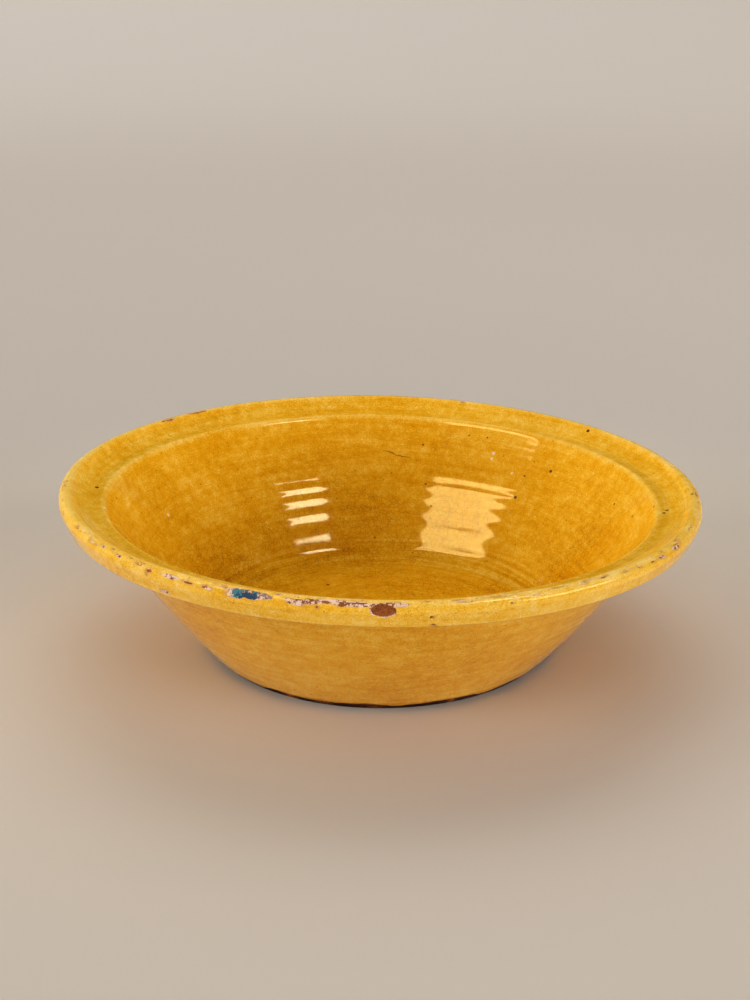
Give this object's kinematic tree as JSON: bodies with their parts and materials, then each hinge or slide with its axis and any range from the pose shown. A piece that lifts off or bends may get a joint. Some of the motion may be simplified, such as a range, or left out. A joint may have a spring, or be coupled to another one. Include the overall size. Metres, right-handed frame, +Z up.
{
  "type": "mixing bowl",
  "caption": "Wide round mixing bowl of glazed earthenware with a flat foot, a straight flaring wall and a hollow flange rim that ends in a rounded lip and a plain outer band.",
  "frame": {"origin": "centre of the flat foot, on the surface the bowl stands on", "axes": "+Z up along the axis that the bowl was turned about; X and Y are free, because every section through Z is the same"},
  "size_m": [0.4, 0.4, 0.106],
  "materials": {
    "terracotta": "bare fired red earthenware, matt and slightly rough",
    "white_slip": "fired white slip, matt",
    "yellow_glaze": "glossy yellow lead glaze, streaked and finely crazed"
  },
  "bodies": {
    "root": {"clay_body": "terracotta", "inside_slip": "white_slip", "outside_slip": "white_slip", "inside_glaze": "yellow_glaze", "outside_glaze": "yellow_glaze"}
  },
  "joints": []
}
